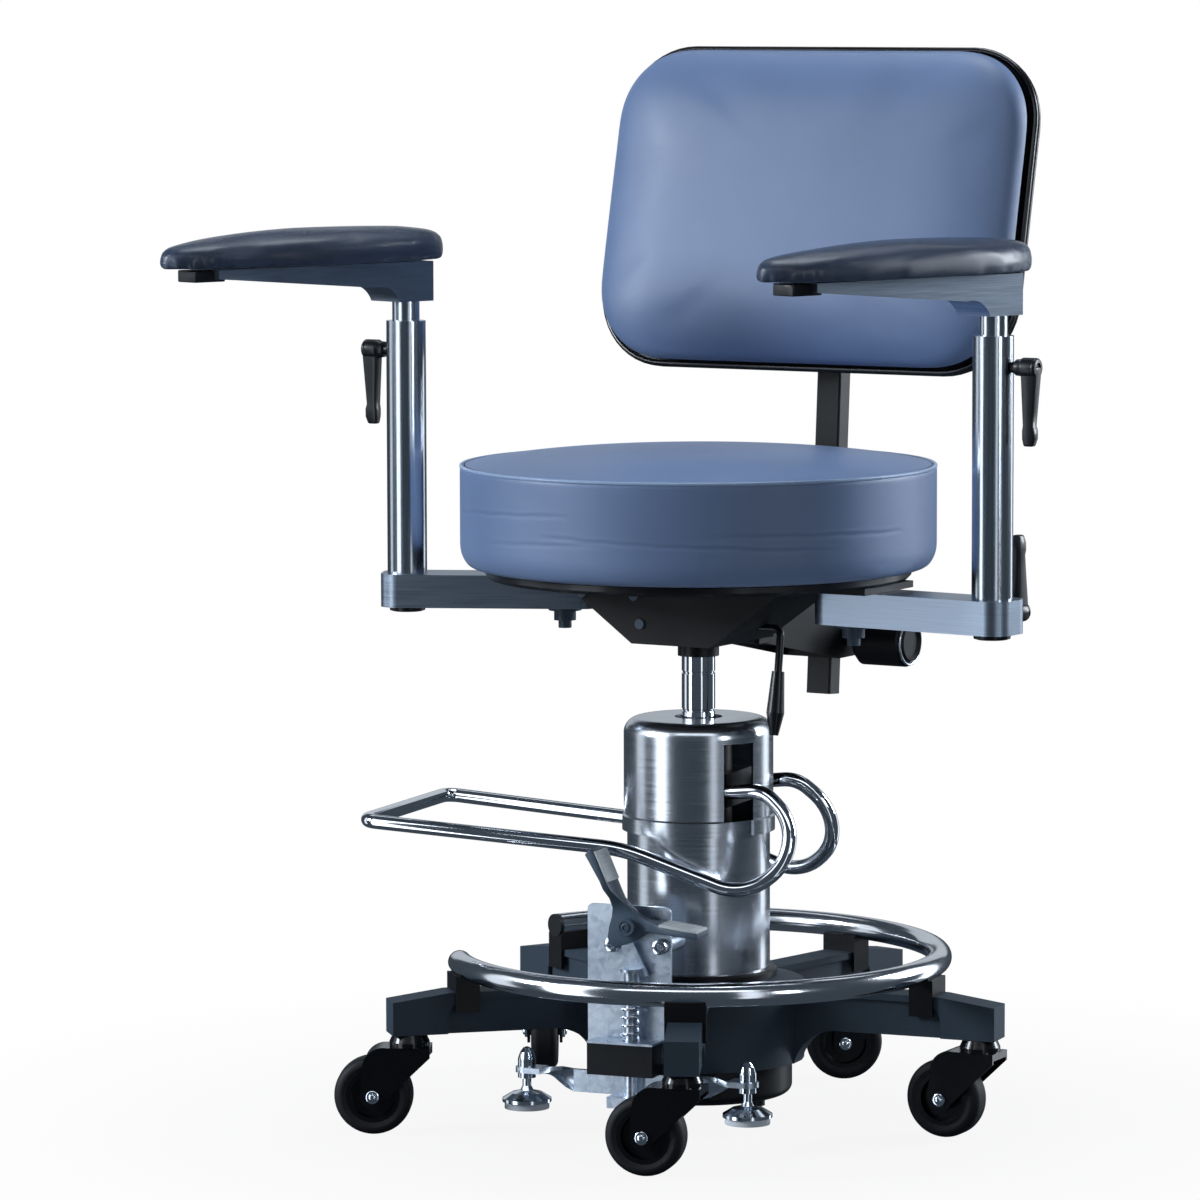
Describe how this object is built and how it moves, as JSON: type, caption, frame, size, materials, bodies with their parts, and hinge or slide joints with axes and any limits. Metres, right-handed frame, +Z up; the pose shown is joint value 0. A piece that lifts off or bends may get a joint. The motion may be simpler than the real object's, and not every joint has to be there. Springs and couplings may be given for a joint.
{
  "type": "dental stool",
  "caption": "Height-adjustable treatment stool with a round padded seat, backrest, two swinging padded arm rests, pump pedal, foot ring, floor lock and swivel casters.",
  "frame": {"origin": "on the floor under the column's axis", "axes": "+Z up along the column, -Y the way the sitter faces, +X to the sitter's left"},
  "size_m": [0.7191, 0.585, 0.9625],
  "materials": {
    "powder_coat": "fine textured",
    "black_steel": "satin",
    "brushed_steel": "brushed",
    "polished_steel": "satin polished",
    "chrome": "mirror",
    "zinc": "zinc plated",
    "cast_grey": "cast, worn bright on the treads",
    "aluminium": "brushed",
    "black_plastic": "semi-gloss",
    "white_plastic": "matte",
    "tyre_rubber": "matte",
    "blue_vinyl": "grained upholstery vinyl",
    "dark_vinyl": "glossy grained upholstery vinyl"
  },
  "bodies": {
    "base": {"base_casting": "powder_coat", "pump_cylinder": "black_steel", "pump_reservoir": "black_steel", "drain_plug": "black_steel", "column_tube": "brushed_steel", "column_cover": "brushed_steel", "foot_ring": "polished_steel", "ring_end_caps": "black_plastic", "ring_saddles": "black_steel", "lock_plate": "zinc", "lock_guide_block": "black_plastic"},
    "pedal": {"pump_lever": "chrome", "pump_lever_hub": "black_steel"},
    "lock_rocker": {"lock_rocker": "cast_grey"},
    "lock_slide": {"lock_plunger": "zinc", "lock_crossbar": "zinc", "lock_feet": "zinc", "lock_foot_pads": "white_plastic", "lock_spring": "zinc"},
    "ram": {"ram_shaft": "chrome"},
    "seat": {"hub_collar": "black_steel", "tilt_frame": "black_steel", "mechanism_fasteners": "zinc", "seat_board": "black_plastic", "seat_cushion": "blue_vinyl"},
    "tilt_lever": {"tilt_lever": "black_plastic"},
    "back_arm": {"back_arm": "black_steel"},
    "back_knob": {"back_knob": "black_plastic"},
    "back_rest": {"back_post": "black_steel", "backrest_shell": "black_plastic", "backrest_cushion": "blue_vinyl"},
    "caster_a_fork": {"caster_a_fork": "black_steel"},
    "caster_a_wheel": {"caster_a_hub": "black_plastic", "caster_a_tyre": "tyre_rubber"},
    "caster_b_fork": {"caster_b_fork": "black_steel"},
    "caster_b_wheel": {"caster_b_hub": "black_plastic", "caster_b_tyre": "tyre_rubber"},
    "caster_c_fork": {"caster_c_fork": "black_steel"},
    "caster_c_wheel": {"caster_c_hub": "black_plastic", "caster_c_tyre": "tyre_rubber"},
    "caster_d_fork": {"caster_d_fork": "black_steel"},
    "caster_d_wheel": {"caster_d_hub": "black_plastic", "caster_d_tyre": "tyre_rubber"},
    "caster_e_fork": {"caster_e_fork": "black_steel"},
    "caster_e_wheel": {"caster_e_hub": "black_plastic", "caster_e_tyre": "tyre_rubber"},
    "right_arm": {"right_arm_bar": "aluminium", "right_arm_tube": "brushed_steel"},
    "right_rod": {"right_arm_rod": "brushed_steel"},
    "right_rest": {"right_arm_bracket": "aluminium", "right_arm_pad": "dark_vinyl"},
    "right_upper_clamp": {"right_arm_upper_clamp": "black_plastic"},
    "right_lower_clamp": {"right_arm_lower_clamp": "black_plastic"},
    "left_arm": {"left_arm_bar": "aluminium", "left_arm_tube": "brushed_steel"},
    "left_rod": {"left_arm_rod": "brushed_steel"},
    "left_rest": {"left_arm_bracket": "aluminium", "left_arm_pad": "dark_vinyl"},
    "left_upper_clamp": {"left_arm_upper_clamp": "black_plastic"},
    "left_lower_clamp": {"left_arm_lower_clamp": "black_plastic"}
  },
  "joints": [
    {"name": "caster_a_swivel", "type": "hinge", "parent": "base", "child": "caster_a_fork", "pos_m": [-0.18809, -0.18809, 0.09], "axis": [0, 0, 1], "continuous": true},
    {"name": "caster_a_roll", "type": "hinge", "parent": "caster_a_fork", "child": "caster_a_wheel", "pos_m": [-0.21634, -0.20311, 0.035], "axis": [-0.4695, 0.8829, 0], "continuous": true},
    {"name": "caster_b_swivel", "type": "hinge", "parent": "base", "child": "caster_b_fork", "pos_m": [0.12076, -0.23701, 0.09], "axis": [0, 0, 1], "continuous": true},
    {"name": "caster_b_roll", "type": "hinge", "parent": "caster_b_fork", "child": "caster_b_wheel", "pos_m": [0.09, -0.24583, 0.035], "axis": [-0.2756, 0.9613, 0], "continuous": true},
    {"name": "caster_c_swivel", "type": "hinge", "parent": "base", "child": "caster_c_fork", "pos_m": [0.26273, 0.04161, 0.09], "axis": [0, 0, 1], "continuous": true},
    {"name": "caster_c_roll", "type": "hinge", "parent": "caster_c_fork", "child": "caster_c_wheel", "pos_m": [0.2308, 0.03938, 0.035], "axis": [-0.0698, 0.9976, 0], "continuous": true},
    {"name": "caster_d_swivel", "type": "hinge", "parent": "base", "child": "caster_d_fork", "pos_m": [-0.23701, 0.12076, 0.09], "axis": [0, 0, 1], "continuous": true},
    {"name": "caster_d_roll", "type": "hinge", "parent": "caster_d_fork", "child": "caster_d_wheel", "pos_m": [-0.25301, 0.14847, 0.035], "axis": [0.866, 0.5, 0], "continuous": true},
    {"name": "caster_e_swivel", "type": "hinge", "parent": "base", "child": "caster_e_fork", "pos_m": [0.04161, 0.26273, 0.09], "axis": [0, 0, 1], "continuous": true},
    {"name": "caster_e_roll", "type": "hinge", "parent": "caster_e_fork", "child": "caster_e_wheel", "pos_m": [0.01508, 0.24483, 0.035], "axis": [-0.5592, 0.829, 0], "continuous": true},
    {"name": "pump_pedal", "type": "hinge", "parent": "base", "child": "pedal", "pos_m": [0.02766, 0.00438, 0.303], "axis": [0.1564, -0.9877, 0], "range_deg": [0, 12], "stiffness_Nm_per_rad": 18, "springref_deg": -20.05},
    {"name": "lock_press", "type": "slide", "parent": "base", "child": "lock_slide", "axis": [0, 0, -1], "range_m": [0, 0.0195], "deforming": ["lock_spring"]},
    {"name": "lock_rocker_turn", "type": "hinge", "parent": "base", "child": "lock_rocker", "pos_m": [-0.02074, -0.00329, 0.191], "axis": [0.1564, -0.9877, 0], "range_deg": [0, 40]},
    {"name": "seat_lift", "type": "slide", "parent": "base", "child": "ram", "axis": [0, 0, 1], "range_m": [-0.034, 0.125]},
    {"name": "seat_swivel", "type": "hinge", "parent": "ram", "child": "seat", "pos_m": [0, 0, 0.445], "axis": [0, 0, 1], "continuous": true},
    {"name": "tilt_lever_pull", "type": "hinge", "parent": "seat", "child": "tilt_lever", "pos_m": [0.079, 0.01, 0.447], "axis": [1, 0, 0], "range_deg": [-12, 12]},
    {"name": "back_tilt", "type": "hinge", "parent": "seat", "child": "back_arm", "pos_m": [0, 0.074, 0.438], "axis": [-1, 0, 0], "range_deg": [-4, 12]},
    {"name": "back_height", "type": "slide", "parent": "back_arm", "child": "back_rest", "axis": [0, 0.0698, 0.9976], "range_m": [-0.03, 0.07]},
    {"name": "back_knob_turn", "type": "hinge", "parent": "back_arm", "child": "back_knob", "pos_m": [0.04, 0.234, 0.414], "axis": [1, 0, 0], "continuous": true},
    {"name": "right_arm_swing", "type": "hinge", "parent": "seat", "child": "right_arm", "pos_m": [-0.149, 0.016, 0.47], "axis": [0, 0, 1], "range_deg": [-35, 36]},
    {"name": "right_arm_height", "type": "slide", "parent": "right_arm", "child": "right_rod", "axis": [0, 0, 1], "range_m": [-0.015, 0.1]},
    {"name": "right_rest_turn", "type": "hinge", "parent": "right_rod", "child": "right_rest", "pos_m": [-0.27908, -0.04577, 0.75], "axis": [0, 0, 1], "range_deg": [-60, 60]},
    {"name": "right_upper_clamp_turn", "type": "hinge", "parent": "right_arm", "child": "right_upper_clamp", "pos_m": [-0.29708, -0.04577, 0.687], "axis": [-1, 0, 0], "range_deg": [-60, 60]},
    {"name": "right_lower_clamp_turn", "type": "hinge", "parent": "right_arm", "child": "right_lower_clamp", "pos_m": [-0.2898, -0.02318, 0.4697], "axis": [-0.4289, 0.9033, 0], "range_deg": [-60, 60]},
    {"name": "left_arm_swing", "type": "hinge", "parent": "seat", "child": "left_arm", "pos_m": [0.149, 0.016, 0.47], "axis": [0, 0, 1], "range_deg": [-60, 35]},
    {"name": "left_arm_height", "type": "slide", "parent": "left_arm", "child": "left_rod", "axis": [0, 0, 1], "range_m": [-0.015, 0.1]},
    {"name": "left_rest_turn", "type": "hinge", "parent": "left_rod", "child": "left_rest", "pos_m": [0.29247, 0.0037, 0.75], "axis": [0, 0, 1], "range_deg": [-60, 60]},
    {"name": "left_upper_clamp_turn", "type": "hinge", "parent": "left_arm", "child": "left_upper_clamp", "pos_m": [0.31047, 0.0037, 0.687], "axis": [1, 0, 0], "range_deg": [-60, 60]},
    {"name": "left_lower_clamp_turn", "type": "hinge", "parent": "left_arm", "child": "left_lower_clamp", "pos_m": [0.29461, 0.02861, 0.4697], "axis": [0.0854, 0.9963, 0], "range_deg": [-60, 60]}
  ],
  "couplings": [
    {"joint": "lock_press", "follows": "lock_rocker_turn", "m_per_rad": 0.02722}
  ]
}
